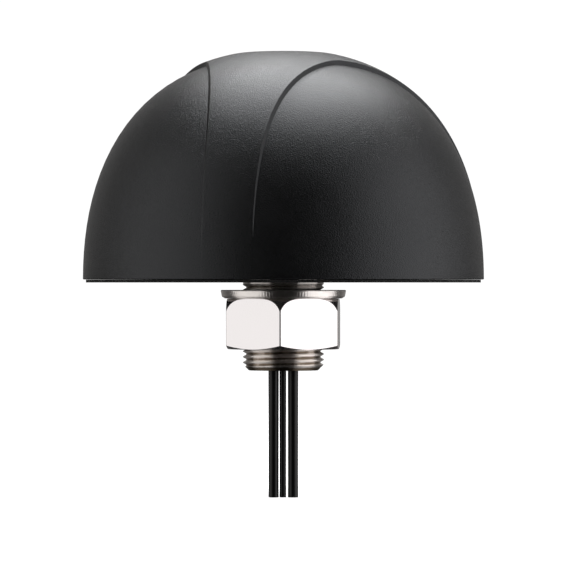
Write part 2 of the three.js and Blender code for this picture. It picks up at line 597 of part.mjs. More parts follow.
function buildCable(name) {
  const { x, radius, side } = CABLES[name];
  const start = new THREE.Vector3(x, 0, PIVOT_Z + radius + PIVOT_GAP);
  if (side === 0) {
    const route = [start, new THREE.Vector3(x, 0, 15), new THREE.Vector3(x, GNSS_LEAD_Y, 24),
      new THREE.Vector3(x, GNSS_LEAD_Y, BOARD_BOTTOM - 1)];
    place(`${name}_lead`, tubeAlong(route, radius, 3, 20, 5), cableJacket);
    const pin = rod(radius * 0.3, BOARD_BOTTOM - 0.98, BOARD_BOTTOM - 0.02, 8);
    place(`${name}_lead_pin`, pin, copper, x, GNSS_LEAD_Y);
  } else {
    const runEnd = side * LEAD_REACH;
    const route = [start, new THREE.Vector3(x, 0, LEAD_RUN_Z), new THREE.Vector3(runEnd, 0, LEAD_RUN_Z)];
    place(`${name}_lead`, tubeAlong(route, radius, 5, 24, 6), cableJacket);
    const pinLength = BLADE_X - BLADE_THICKNESS / 2 - LEAD_REACH - 0.04;
    const pin = rod(radius * 0.3, 0.02, pinLength, 8).rotateY((side * Math.PI) / 2);
    place(`${name}_lead_pin`, pin, copper, runEnd, 0, LEAD_RUN_Z);
  }
  const gap = 0.03;
  const layers = [
    ['jacket', radius * 0.74, radius, 16, cableJacket],
    ['braid', radius * 0.6, radius * 0.74 - gap, 14, cableBraid],
    ['dielectric', radius * 0.26, radius * 0.6 - gap * 2, 12, cableDielectric],
    ['conductor', 0, radius * 0.26 - gap * 2, 8, copper],
  ];
  for (const [layer, inner, outer, segments, material] of layers) {
    place(`${name}_tail_${layer}`, tailLayer(inner, outer, radius, segments), material, x, 0, PIVOT_Z);
  }
}

function buildGrommet() {
  const plug = solid(rod(STUD_BORE_RADIUS - 0.15, -8, 0, 24));
  const holes = Object.values(CABLES).map(({ x, radius }) => at(rod(radius + 0.12, -9, 1, 16), x, 0));
  place('cable_grommet', geometryOf(cut(plug, holes)), rubber);
}

buildRadome();
buildBase();
buildStud();
buildWasher();
buildNut();
buildGroundPlate();
buildPedestal();
buildSatelliteElement();
buildCellElement('cell_main', -1, 34, 48);
buildCellElement('cell_aux', 1, 26, 42);
for (const name of Object.keys(CABLES)) buildCable(name);
buildGrommet();

export default receiver;
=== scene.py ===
"""The finished look of a dome-shaped GNSS receiver head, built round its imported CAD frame.

Shapes are worked out in millimetres with z = 0 at the mounting plane, as in the CAD source, and each
piece is moved into the shared frame, in metres, when its mesh is made.
"""

import json
import math

import bmesh
import bpy
import numpy as np
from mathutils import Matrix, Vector

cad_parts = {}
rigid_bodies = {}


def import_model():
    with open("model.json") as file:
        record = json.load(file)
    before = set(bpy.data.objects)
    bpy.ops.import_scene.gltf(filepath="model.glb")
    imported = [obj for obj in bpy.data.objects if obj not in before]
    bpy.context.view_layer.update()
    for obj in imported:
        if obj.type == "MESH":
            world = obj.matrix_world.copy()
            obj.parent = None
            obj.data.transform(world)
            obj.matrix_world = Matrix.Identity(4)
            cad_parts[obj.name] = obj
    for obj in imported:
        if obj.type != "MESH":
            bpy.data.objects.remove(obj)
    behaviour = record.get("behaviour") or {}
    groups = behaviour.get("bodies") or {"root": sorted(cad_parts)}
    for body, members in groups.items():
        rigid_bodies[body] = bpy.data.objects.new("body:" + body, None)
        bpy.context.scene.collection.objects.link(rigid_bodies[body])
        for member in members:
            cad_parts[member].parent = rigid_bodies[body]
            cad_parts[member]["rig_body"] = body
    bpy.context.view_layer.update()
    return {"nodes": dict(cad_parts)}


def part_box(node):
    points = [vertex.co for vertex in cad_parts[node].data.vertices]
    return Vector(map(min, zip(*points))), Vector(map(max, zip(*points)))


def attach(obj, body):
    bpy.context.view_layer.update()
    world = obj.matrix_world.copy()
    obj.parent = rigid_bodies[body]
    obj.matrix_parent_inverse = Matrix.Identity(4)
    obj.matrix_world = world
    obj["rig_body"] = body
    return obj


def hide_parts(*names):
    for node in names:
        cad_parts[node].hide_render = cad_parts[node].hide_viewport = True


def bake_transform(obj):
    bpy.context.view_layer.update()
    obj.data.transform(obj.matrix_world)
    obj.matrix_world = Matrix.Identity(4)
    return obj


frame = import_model()

# ---------------------------------------------------------------- frame
MM = 0.001
TURN = 2 * math.pi
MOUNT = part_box("foam_gasket")[0].z  # height of the mounting plane in the shared frame


def low(node):
    """Lowest corner of a CAD node, in millimetres from the mounting plane."""
    return (np.array(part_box(node)[0]) - (0, 0, MOUNT)) / MM


def high(node):
    return (np.array(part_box(node)[1]) - (0, 0, MOUNT)) / MM


def middle(node):
    return (low(node) + high(node)) / 2


# ---------------------------------------------------------------- sizes
RIM = high("radome")[0]
CROWN = high("radome")[2]
FOOT = low("radome")[2]
WALL = 2.4
PETAL_DROP = 1.2  # how far the petals' surface lies under the crown
# Radius at the foot, height, and the two exponents of each superelliptic profile.
SHELL_SHAPE = (RIM + 0.1, CROWN + 0.65, 2.2, 2.44)
PETAL_SHAPE = (RIM, CROWN - PETAL_DROP, 2.43, 2.23)
CAVITY_SHAPE = (RIM - WALL, CROWN - PETAL_DROP - WALL, 2.43, 2.23)
CROWN_ROUND = 0.6  # height over which the shell turns into its flat crown
FOOT_FILLET = 0.3
FOOT_STEPS = 5
STEP_EDGE = 0.22  # rounding of the petals' edges
PETALS = 3
PETAL_AXIS = math.radians(-45.9)
PETAL_APEX = 21.6
PETAL_APEX_ROUND = 2
PETAL_SLOPE = 0.175
PETAL_BOW = 3.89
PETAL_BOW_AT = 43
PETAL_BOW_POWER = 3.5
LEAN = 0.05  # how far the wall of a petal leans at its inner end, in plan
LEAN_SWELL = 0.35  # how much more it leans half way down
LEAN_LENGTH = 54  # distance across the petal over which that swells and fades
STEP_FADE = (10.5, 14.5)  # heights between which the petals' walls rise from nothing
STEP_LEFT = 0.02  # what is left of a wall below that

BASE_TOP = high("base_plate")[2]
BOSSES = 6
BOSS_CIRCLE = 45
BOSS_RADIUS = 3.4
BOSS_TOP = 11
SCREW_HOLE = 1.25

GASKET_INNER = 18
GASKET_WAIST = 0.06  # how far its cut faces draw in
GASKET_GAP = 0.05  # between the gasket and the base plate

THREAD_CREST = 10.95
THREAD_ROOT = 10.05
PITCH = 1.5
THREAD_PHASE = 0.2
END_CHAMFER = 1.6
BORE = 7
BORE_CHAMFER = 0.8
NECK = 10.9
NECK_BOTTOM = -0.4
RUN_OUT = 1.1  # slope with which the thread ends in the neck
FLANGE = high("threaded_stud")[0]
FLANGE_TOP = high("threaded_stud")[2]
FLANGE_THICKNESS = 2.8
FLANGE_BOTTOM = FLANGE_TOP - FLANGE_THICKNESS
FLANGE_SCREWS = 3
FLANGE_CIRCLE = 14.2
FLANGE_HOLE = 1.35
STUD_END = low("threaded_stud")[2]

WASHER_BORE = THREAD_CREST + 0.55
WASHER_CHAMFER = 0.3
WASHER_TEETH = 132
TOOTH_DEPTH = 0.035

NUT_TOP = high("hex_nut")[2]
NUT_BOTTOM = low("hex_nut")[2]
NUT_FLAT = 15
NUT_CORNER = NUT_FLAT / math.cos(math.pi / 6)
NUT_TURN = math.radians(27)
NUT_LAND = NUT_FLAT - 0.1  # radius of the flat ring on each end
NUT_SHOULDER = 4.7  # height of the rounding towards the washer
NUT_SHOULDER_REACH = 2.45
NUT_CHAMFER = 1.1 / (NUT_CORNER + 0.1 - NUT_LAND)  # slope of the chamfer towards the cables
NUT_EDGE = 0.5  # radius of the nut's upright edges
NUT_CREASE = 0.22  # rounding between its faces and its chamfers
NUT_LEAD = THREAD_CREST + 0.7  # radius where the thread opens out at each end
INNER_CREST = THREAD_CREST + 0.3
INNER_ROOT = THREAD_ROOT + 0.4
SHOULDER_ROWS = 8

PILLARS = 3
PILLAR_CIRCLE = 38
PILLAR_FLAT = 2.6
PILLAR_NECK = 1.5
PILLAR_HOLE_DEPTH = 6

SHANK = 1.15
HEAD = 2.5
SCREW_PITCH = 0.45
SCREW_THREAD = 0.22
SCREW_POINT = 0.35
HEAD_HEIGHT = 1.5
BASE_HEAD_HEIGHT = 1.55
RECESS_DEPTH = 0.95
RECESS_REACH = 1.45
RECESS_LIFT = 0.2  # how far the cutter stands out of the head
RECESS_TAPER = 0.55
RECESS_HALF_TOP = 0.28
RECESS_HALF_BOTTOM = 0.2

CABLES = {
    "cell_main": {"x": -2.65, "radius": 1.4, "side": -1},
    "gnss": {"x": -0.15, "radius": 0.9, "side": 0},
    "cell_aux": {"x": 2.6, "radius": 1.4, "side": 1},
}
CABLE_END = -MOUNT / MM
CABLE_COLUMNS = 28
CABLE_STEP = 0.9
LEAD_RUN = 9.6  # height at which the thick leads run outwards
LEAD_REACH = 24
LEAD_BEND = 5
GNSS_RISE = 15
GNSS_BACK = -10
GNSS_TURN = 24
GNSS_BEND = 3
CUT_DEPTH = 4  # how far the hollow goes into the cut end of a jacket
BRAID_SHARE = 0.74  # radii inside a cable, as shares of its own
DIELECTRIC_SHARE = 0.6
CONDUCTOR_SHARE = 0.26
LAYER_GAP = 0.03
WELD = 2e-6


# ---------------------------------------------------------------- mesh helpers
class Surface:
    """Collects grids of points, in millimetres, that are welded into one mesh."""

    def __init__(self):
        self.points = []
        self.faces = []
        self.count = 0

    def grid(self, points):
        rows, columns = points.shape[:2]
        index = np.arange(rows * columns).reshape(rows, columns) + self.count
        corners = (index[:-1, :-1], index[:-1, 1:], index[1:, 1:], index[1:, :-1])
        self.faces.append(np.stack(corners, -1).reshape(-1, 4))
        self.points.append(points.reshape(-1, 3))
        self.count += rows * columns
        return self

    def mesh(self, name):
        points = np.concatenate(self.points) * MM + (0, 0, MOUNT)
        data = bpy.data.meshes.new(name)
        data.from_pydata(points.tolist(), [], np.concatenate(self.faces).tolist())
        shape = bmesh.new()
        shape.from_mesh(data)
        bmesh.ops.remove_doubles(shape, verts=shape.verts, dist=WELD)
        bmesh.ops.recalc_face_normals(shape, faces=shape.faces)
        shape.to_mesh(data)
        shape.free()
        data.shade_smooth()
        return data


def add_object(name, data):
    item = bpy.data.objects.new(name, data)
    bpy.context.scene.collection.objects.link(item)
    return item


def crisp(item, angle=40):
    """Flat faces keep flat shading next to their rounded edges."""
    item.data.set_sharp_from_angle(angle=math.radians(angle))
    weighted = item.modifiers.new("weighted_normals", "WEIGHTED_NORMAL")
    weighted.keep_sharp = True
    weighted.weight = 80
    return item


def circle(radius, angles, z):
    """Points at radius, angle and height, for arrays of any matching shape."""
    radius, angles, z = np.broadcast_arrays(radius, angles, z)
    return np.stack([radius * np.cos(angles), radius * np.sin(angles), z], -1)


def bezier(start, corner, end, steps, first=0):
    """Rows of a curve from start to end that turns at corner."""
    rows = []
    for i in range(first, steps + 1):
        t = i / steps
        rows.append((1 - t) ** 2 * start + 2 * t * (1 - t) * corner + t ** 2 * end)
    return rows


def rounded(profile, size, steps=3):
    """A chain of points with its inner corners rounded. A point may be an array over columns."""
    chain = [np.asarray(p, float) for p in profile]
    sizes = size if isinstance(size, (list, tuple)) else [size] * len(chain)
    out = [chain[0]]
    for i in range(1, len(chain) - 1):
        back, ahead = chain[i - 1] - chain[i], chain[i + 1] - chain[i]
        back_length = np.linalg.norm(back, axis=0)
        ahead_length = np.linalg.norm(ahead, axis=0)
        reach = np.minimum(sizes[i], 0.45 * np.minimum(back_length, ahead_length))
        start = chain[i] + back * reach / np.maximum(back_length, 1e-9)
        end = chain[i] + ahead * reach / np.maximum(ahead_length, 1e-9)
        out += bezier(start, chain[i], end, steps)
    return out + [chain[-1]]


def lathe(profile, angles, size=0.0, steps=3):
    """A grid turned round the axis from a chain of [radius, z] points."""
    chain = rounded(profile, size, steps) if size else [np.asarray(p, float) for p in profile]
    return np.stack([circle(p[0], angles, p[1]) for p in chain])


def full_turn(columns):
    return np.linspace(0, TURN, columns + 1)


def moved(points, x=0.0, y=0.0, z=0.0):
    return points + np.array([x, y, z])


def spun(points, angle):
    c, s = math.cos(angle), math.sin(angle)
    return points @ np.array([[c, s, 0], [-s, c, 0], [0, 0, 1]])


def around(count, radius, start=0.0):
    angles = [start + i * TURN / count for i in range(count)]
    return [(radius * math.cos(a), radius * math.sin(a), a) for a in angles]


def carve(item, cutters):
    """Cuts closed meshes out of a piece, and leaves the result as its mesh."""
    for data in cutters:
        tool = add_object("cutter", data)
        cut = item.modifiers.new("cut", "BOOLEAN")
        cut.operation = "DIFFERENCE"
        cut.solver = "EXACT"
        cut.object = tool
        bpy.context.view_layer.update()
        result = bpy.data.meshes.new_from_object(item.evaluated_get(bpy.context.evaluated_depsgraph_get()))
        item.modifiers.clear()
        item.data = result
        bpy.data.objects.remove(tool)
    return item


# ---------------------------------------------------------------- thread
# Distance from a crest's middle, in pitches, and share of the thread's depth there.
THREAD_KNOTS = np.array([(0, 1), (0.05, 1), (0.09, 0.93), (0.24, 0.5), (0.38, 0.06), (0.43, 0), (0.5, 0)])


def thread_grid(angles, crest, root, pitch, bottom, top, phase, limit):
    """A right-hand thread whose rows follow the helix and stop at bottom and top."""
    offsets = np.concatenate([-THREAD_KNOTS[:0:-1, 0], THREAD_KNOTS[:-1, 0]])
    turns = np.arange(math.floor(bottom / pitch) - 2, math.ceil(top / pitch) + 3)
    rows = (turns[:, None] + offsets).ravel()
    z = np.clip(pitch * (rows[:, None] + angles / TURN) + phase, bottom, top)
    from_crest = ((z - phase) / pitch - angles / TURN + 0.5) % 1 - 0.5
    share = np.interp(np.abs(from_crest), THREAD_KNOTS[:, 0], THREAD_KNOTS[:, 1])
    return circle(limit(root + (crest - root) * share, z), angles, z)


# ---------------------------------------------------------------- radome
def petal_radius(z):
    radius, height, m, n = PETAL_SHAPE
    return radius * np.clip(1 - (z / height) ** n, 0, 1) ** (1 / m)


PROFILE_SAMPLES = 4001
EDGE_SAMPLES = 20001


class Meridian:
    """A superelliptic profile from bottom to its crown, by the distance along it."""

    def __init__(self, shape, bottom):
        radius, height, m, n = shape
        start = math.asin((bottom / height) ** (n / 2))
        t = np.linspace(start, math.pi / 2, PROFILE_SAMPLES)
        self.r = radius * np.clip(np.cos(t), 0, 1) ** (2 / m)
        self.r[-1] = 0
        self.z = height * np.sin(t) ** (2 / n)
        self.measure()

    def measure(self):
        steps = np.hypot(np.diff(self.r), np.diff(self.z))
        self.s = np.concatenate([[0], np.cumsum(steps)])

    def flatten(self, top):
        """Turns the profile into a level crown."""
        near = np.maximum(CROWN_ROUND - np.abs(self.z - top), 0) / CROWN_ROUND
        self.z = np.minimum(self.z, top) - near ** 2 * CROWN_ROUND / 4
        self.measure()

    def fade(self, start, end):
        """Brings the profile down to the petals' surface below start, and part of the way up to end."""
        share = np.clip((self.z - start) / (end - start), 0, 1)
        sunk = 1 - share ** 2 * (3 - 2 * share)
        self.r += (petal_radius(self.z) + STEP_LEFT - self.r) * sunk
        self.measure()

    def lift(self, across, along):
        """The point at azimuth across / RIM and distance along the profile."""
        radius = np.interp(along, self.s, self.r)
        return circle(radius, across / RIM, np.interp(along, self.s, self.z))

    def along(self, radius):
        return np.interp(-radius, -self.r, self.s)


def petal_line(across):
    """Distance of a petal's edge from the axis, measured along the petal's direction."""
    straight = PETAL_SLOPE * (np.hypot(across, PETAL_APEX_ROUND) - PETAL_APEX_ROUND)
    return PETAL_APEX + straight + PETAL_BOW * (np.abs(across) / PETAL_BOW_AT) ** PETAL_BOW_POWER


def lower_line(across):
    """The same for the foot of the wall, which leans into the petal."""
    return petal_line(across) + LEAN + LEAN_SWELL * np.sin(across * math.pi / LEAN_LENGTH) ** 2


def petal_edge(meridian, share, line):
    """A petal's edge on a surface, as distance round the rim and distance up the meridian."""
    reach = np.linspace(0, PETAL_BOW_AT + 3, EDGE_SAMPLES)
    across = share * np.interp(meridian.r[0], np.hypot(line(reach), reach), reach)
    out = line(across)
    along = meridian.along(np.hypot(out, across))
    along[[0, -1]] = 0
    return np.stack([np.arctan2(across, out) * RIM, along])


def even_shares(meridian, rays):
    """Shares of the petal's half width, from -1 to 1, evenly spaced along its edge."""
    share = np.sin(np.linspace(-math.pi / 2, math.pi / 2, PROFILE_SAMPLES))
    edge = petal_edge(meridian, share, lower_line)
    length = np.concatenate([[0], np.cumsum(np.hypot(*np.diff(edge)))])
    even = np.interp(np.linspace(0, length[-1], rays + 1), length, share)
    return (even - even[::-1]) / 2


RAYS = 168
SEAT_SHARE = 0.5  # the rays fan out from this share of the petal's foot
NEAR_ROWS = (0.25, 0.7, 1.5, 2.8)
INNER_ROWS = 18
OUTER_ROWS = 14
CAVITY_ROWS = 30
INNER_EDGE = 0.2  # bevel between the foot and the cavity


def distances(edge, lengths, rows):
    """Row distances from the petal's edge: close ones first, then even steps up to each length."""
    close = [edge] + [edge + near for near in NEAR_ROWS]
    rest = [close[-1] + (lengths - close[-1]) * (i + 1) / rows for i in range(rows)]
    return close + rest


def sector_rows():
    """Rows of points over one third of the dome, with its petal along +X."""
    petal = Meridian(PETAL_SHAPE, FOOT + FOOT_FILLET)
    shell = Meridian(SHELL_SHAPE, FOOT + FOOT_FILLET)
    shell.flatten(CROWN)
    shell.fade(*STEP_FADE)
    share = even_shares(petal, RAYS)
    lower = petal_edge(petal, share, lower_line)
    upper = petal_edge(shell, share, petal_line)

    fan = np.stack([lower[0] * (1 - SEAT_SHARE), lower[1]])
    inner_length = np.hypot(*fan)
    inward = fan / inner_length
    outward = np.stack([upper[0] * (1 - SEAT_SHARE), upper[1]])
    outward /= np.hypot(*outward)
    border = RIM * math.pi / PETALS
    to_border = (border - np.abs(upper[0])) / np.maximum(np.abs(outward[0]), 1e-9)
    to_crown = (shell.s[-1] - upper[1]) / np.maximum(outward[1], 1e-9)
    outer_length = np.minimum(to_border, to_crown)

    foot_of_step, top_of_step = petal.lift(*lower), shell.lift(*upper)
    wall = top_of_step - foot_of_step
    height = np.linalg.norm(wall, axis=1)
    wall /= height[:, None]
    edge = np.minimum(STEP_EDGE, 0.45 * height)
    reach = wall * edge[:, None]

    inner = [petal.lift(*(lower - inward * d)) for d in distances(edge, inner_length, INNER_ROWS)]
    outer = [shell.lift(*(upper + outward * d)) for d in distances(edge, outer_length, OUTER_ROWS)]
    fillet = bezier(inner[0], foot_of_step, foot_of_step + reach, 4, first=1)
    bevel = bezier(top_of_step - reach, top_of_step, outer[0], 4)[:-1]
    return np.stack(inner[::-1] + fillet + bevel + outer)


def foot_ring(sectors):
    """The closed line of points round the foot of the dome."""
    ring = []
    for rows in sectors:
        ring += [rows[::-1, 0], rows[0, :], rows[:, -1]]
    points = np.concatenate(ring + [ring[0][:1]])
    keep = np.ones(len(points), bool)
    keep[1:] = np.linalg.norm(np.diff(points, axis=0), axis=1) > WELD / MM
    return points[keep]


def build_radome():
    dome = Surface()
    third = sector_rows()
    sectors = [spun(third, angle) for _, _, angle in around(PETALS, 1, PETAL_AXIS)]
    for rows in sectors:
        dome.grid(rows)
    ring = foot_ring(sectors)
    radius = np.hypot(ring[:, 0], ring[:, 1])
    angles = np.arctan2(ring[:, 1], ring[:, 0])
    fillet = []
    for t in np.linspace(0, math.pi / 2, FOOT_STEPS):
        inwards, down = FOOT_FILLET * (1 - math.cos(t)), FOOT_FILLET * (1 - math.sin(t))
        fillet.append(circle(radius - inwards, angles, FOOT + down))
    cavity = Meridian(CAVITY_SHAPE, FOOT)
    inner_edge = [circle(cavity.r[0] + reach, angles, FOOT) for reach in (0.6, INNER_EDGE)]
    inside = []
    for s in np.linspace(INNER_EDGE, cavity.s[-1], CAVITY_ROWS):
        radius, height = np.interp(s, cavity.s, cavity.r), np.interp(s, cavity.s, cavity.z)
        inside.append(circle(radius, angles, height))
    dome.grid(np.stack(fillet + inner_edge + inside))
    bosses(dome, cavity)
    return add_object("radome_shell", dome.mesh("radome_shell"))


def bosses(dome, cavity):
    """Screw bosses under the dome, each with a web to the wall."""
    angles = full_turn(24)
    draft = 0.25
    tube = [(SCREW_HOLE, BASE_TOP), (BOSS_RADIUS, BASE_TOP), (BOSS_RADIUS + draft, BOSS_TOP), (0, BOSS_TOP)]
    hole = [(SCREW_HOLE, BASE_TOP), (SCREW_HOLE, BOSS_TOP - 1.2), (0, BOSS_TOP - 0.8)]
    for x, y, angle in around(BOSSES, BOSS_CIRCLE):
        dome.grid(moved(lathe(tube, angles, 0.3), x, y))
        dome.grid(moved(lathe(hole, angles), x, y))
        web = slab(BOSS_RADIUS - 0.4, cavity.r[0] + 1.2 - BOSS_CIRCLE, 1.1, BASE_TOP + 0.2, BOSS_TOP - 0.5)
        dome.grid(moved(spun(web, angle), x, y))


def slab(x0, x1, half, bottom, top):
    """A block between x0 and x1 as one closed grid."""
    ring = [(x0, -half), (x1, -half), (x1, half), (x0, half), (x0, -half)]
    centre = ((x0 + x1) / 2, 0)
    levels = [([centre] * 5, bottom), (ring, bottom), (ring, top), ([centre] * 5, top)]
    return np.array([[(x, y, z) for x, y in points] for points, z in levels], float)


# ---------------------------------------------------------------- gasket, stud, washer and nut
def build_gasket():
    bottom, top = low("foam_gasket")[2], high("foam_gasket")[2]
    outer, inner = high("foam_gasket")[0], GASKET_INNER
    half_way = (bottom + top) / 2
    top -= GASKET_GAP
    profile = [(inner + 6, bottom), (outer, bottom), (outer - GASKET_WAIST, half_way), (outer, top),
               (inner, top), (inner + GASKET_WAIST, half_way), (inner, bottom), (inner + 6, bottom)]
    gasket = Surface().grid(lathe(profile, full_turn(144), 0.12))
    return add_object("foam_ring", gasket.mesh("foam_ring"))


def stud_limit(radius, z):
    chamfer = THREAD_CREST - END_CHAMFER + (z - STUD_END)
    run_out = (NECK_BOTTOM - z) * RUN_OUT
    radius = np.minimum(radius, chamfer)
    return np.clip(radius, NECK - run_out, NECK + run_out)


def screw_cutter(x, y, bottom, top, radius):
    rod = lathe([(0, bottom), (radius, bottom), (radius, top), (0, top)], full_turn(24))
    return Surface().grid(moved(rod, x, y)).mesh("hole")


def build_stud():
    angles = full_turn(108)
    stud = Surface()
    stud.grid(thread_grid(angles, THREAD_CREST, THREAD_ROOT, PITCH, STUD_END, NECK_BOTTOM, THREAD_PHASE,
                          stud_limit))
    wide = BORE + BORE_CHAMFER
    profile = [(NECK, NECK_BOTTOM), (NECK, FLANGE_BOTTOM), (FLANGE, FLANGE_BOTTOM), (FLANGE, FLANGE_TOP),
               (wide, FLANGE_TOP), (BORE, FLANGE_TOP - BORE_CHAMFER), (BORE, STUD_END + BORE_CHAMFER),
               (wide, STUD_END), (THREAD_CREST - END_CHAMFER, STUD_END)]
    sizes = [0, 0.3, 0.25, 0.25, 0.1, 0.1, 0.1, 0.1, 0]
    stud.grid(lathe(profile, angles, sizes))
    item = add_object("stud_body", stud.mesh("stud_body"))
    holes = [screw_cutter(x, y, FLANGE_BOTTOM - 1, FLANGE_TOP + 1, FLANGE_HOLE)
             for x, y, _ in around(FLANGE_SCREWS, FLANGE_CIRCLE, math.pi / 2)]
    return crisp(carve(item, holes))


def build_washer():
    """A turned washer whose rim tapers downwards and has a band of fine serrations."""
    top, bottom = high("lock_washer")[2], low("lock_washer")[2]
    rim, bore, chamfer = high("lock_washer")[0], WASHER_BORE, WASHER_CHAMFER
    angles = full_turn(WASHER_TEETH * 4)
    wave = np.abs(((angles * WASHER_TEETH / TURN) % 1) * 2 - 1)
    waist = bottom + 0.65
    # Radius, height, and the share of a tooth's depth there.
    rows = [
        (bore + chamfer, bottom, 0), (rim - 1.2, bottom, 0), (rim - 0.95, bottom + 0.06, 0),
        (rim - 0.85, bottom + 0.2, 0), (rim - 0.4, waist - 0.25, 0), (rim - 0.28, waist, 0.5),
        (rim - 0.24, waist + 0.1, 1), (rim - 0.05, top - 0.6, 1), (rim, top - 0.46, 0.4), (rim, top - 0.2, 0),
        (rim - 0.05, top - 0.08, 0), (rim - 0.2, top, 0), (rim - 1.4, top, 0), (bore + chamfer, top, 0),
        (bore, top - chamfer, 0), (bore, bottom + chamfer, 0), (bore + chamfer, bottom, 0),
    ]
    grid = [circle(radius - TOOTH_DEPTH * share * wave, angles, z) for radius, z, share in rows]
    washer = Surface().grid(np.stack(grid))
    return crisp(add_object("serrated_washer", washer.mesh("serrated_washer")), 60)


EDGE_CENTRE = (NUT_FLAT - NUT_EDGE) / math.cos(math.pi / 6)  # of the rounding of an upright edge
EDGE_ANGLE = math.atan2(NUT_EDGE / 2, EDGE_CENTRE + NUT_EDGE * math.cos(math.pi / 6))


def nut_angles():
    """Columns round the nut, closer together at its edges."""
    corner = [EDGE_ANGLE * i / 4 for i in range(5)]
    support = EDGE_ANGLE + 0.02
    flat = np.linspace(support, math.pi / 3 - support, 25).tolist()
    sector = corner + flat + [math.pi / 3 - a for a in corner[:0:-1]]
    return np.array([k * math.pi / 3 + a for k in range(6) for a in sector] + [TURN])


def nut_radius(angles):
    """Radius of a hexagon with rounded edges; the edges lie at multiples of 60 degrees."""
    off = np.abs((angles + math.pi / 6) % (math.pi / 3) - math.pi / 6)
    flat = NUT_FLAT / np.cos(math.pi / 6 - off)
    inside = np.maximum(NUT_EDGE ** 2 - (EDGE_CENTRE * np.sin(off)) ** 2, 0)
    arc = EDGE_CENTRE * np.cos(off) + np.sqrt(inside)
    return np.where(off < EDGE_ANGLE, arc, flat)


def nut_profile(hexagon):
    """The nut's outside from its lower face to its upper one, for each column's outer radius."""
    def ring(radius, z):
        return np.stack(np.broadcast_arrays(radius, z, hexagon)[:2]).astype(float)

    profile = [
        ring(NUT_LEAD, NUT_BOTTOM), ring(NUT_LEAD + 1, NUT_BOTTOM), ring(NUT_LAND, NUT_BOTTOM),
        ring(hexagon, NUT_BOTTOM + (hexagon - NUT_LAND) * NUT_CHAMFER),
    ]
    shoulder = np.arcsin(np.clip((hexagon - NUT_LAND) / NUT_SHOULDER_REACH, 0, 1))
    for i in range(SHOULDER_ROWS + 1):
        turn = shoulder * (1 - i / SHOULDER_ROWS)
        drop = NUT_SHOULDER * (1 - np.cos(turn))
        profile.append(ring(NUT_LAND + NUT_SHOULDER_REACH * np.sin(turn), NUT_TOP - drop))
    return profile + [ring(NUT_LEAD + 1, NUT_TOP), ring(NUT_LEAD, NUT_TOP)]


def nut_limit(radius, z):
    into = np.minimum(z - NUT_BOTTOM, NUT_TOP - z)
    return np.maximum(radius, NUT_LEAD - into)


def build_nut():
    local = nut_angles()
    angles = local + NUT_TURN
    sizes = [0, 0] + [NUT_CREASE] * 3 + [0] * (SHOULDER_ROWS + 2)
    chain = rounded(nut_profile(nut_radius(local)), sizes)
    nut = Surface().grid(np.stack([circle(p[0], angles, p[1]) for p in chain]))
    nut.grid(thread_grid(angles, INNER_CREST, INNER_ROOT, PITCH, NUT_BOTTOM, NUT_TOP, THREAD_PHASE,
                         nut_limit))
    return crisp(add_object("nut_body", nut.mesh("nut_body")))


# ---------------------------------------------------------------- cables
def rounded_path(corners, bend, step):
    """Points along a chain of corners whose turns are rounded."""
    points = [np.array(c, float) for c in corners]
    chain = [points[0]]
    for i in range(1, len(points) - 1):
        back = points[i - 1] - points[i]
        ahead = points[i + 1] - points[i]
        start = points[i] + back / np.linalg.norm(back) * bend
        end = points[i] + ahead / np.linalg.norm(ahead) * bend
        chain += bezier(start, points[i], end, 16)
    chain.append(points[-1])
    out = [chain[0]]
    for a, b in zip(chain[:-1], chain[1:]):
        pieces = max(1, round(np.linalg.norm(b - a) / step))
        out += [a + (b - a) * (k + 1) / pieces for k in range(pieces)]
    return np.array(out)


def sweep(path, radius, angles, side):
    """Rings round a path in one upright plane, along Y where side is 0 and along X where it isn't."""
    ahead = np.gradient(path, axis=0)
    ahead /= np.linalg.norm(ahead, axis=1)[:, None]
    if side == 0:
        first = np.broadcast_to([1.0, 0, 0], ahead.shape)
        second = np.cross(ahead, first)
    else:
        second = np.broadcast_to([0, 1.0, 0], ahead.shape)
        first = np.cross(second, ahead)
    ring = np.cos(angles)[None, :, None] * first[:, None] + np.sin(angles)[None, :, None] * second[:, None]
    return path[:, None, :] + ring * radius


def cable_corners(x, side):
    """The corners of a cable's path, and how far from each its bend begins."""
    start = (x, 0, CABLE_END)
    if side == 0:
        end = (x, GNSS_BACK, low("amplifier_board")[2] - 1)
        return [start, (x, 0, GNSS_RISE), (x, GNSS_BACK, GNSS_TURN), end], GNSS_BEND
    return [start, (x, 0, LEAD_RUN), (side * LEAD_REACH, 0, LEAD_RUN)], LEAD_BEND


def build_cable(name, x, radius, side):
    """One jacket from the antenna element, through the stud, to the cut end."""
    angles = full_turn(CABLE_COLUMNS)
    corners, bend = cable_corners(x, side)
    path = rounded_path(corners, bend, CABLE_STEP)
    bore = radius * BRAID_SHARE
    cut_end = [(0, CUT_DEPTH), (bore, CUT_DEPTH), (bore, 0.05), (bore + 0.04, 0), (radius - 0.1, 0),
               (radius - 0.03, 0.04), (radius, 0.14)]
    rings = [moved(circle(r, angles, CABLE_END + z), x) for r, z in cut_end]
    rings += list(sweep(path, radius, angles, side)[1:])
    rings += [path[-1] + (rings[-1] - path[-1]) * share for share in (0.96, 0.4, 0)]
    data = Surface().grid(np.stack(rings)).mesh(f"{name}_cable")
    return add_object(f"{name}_cable", data)


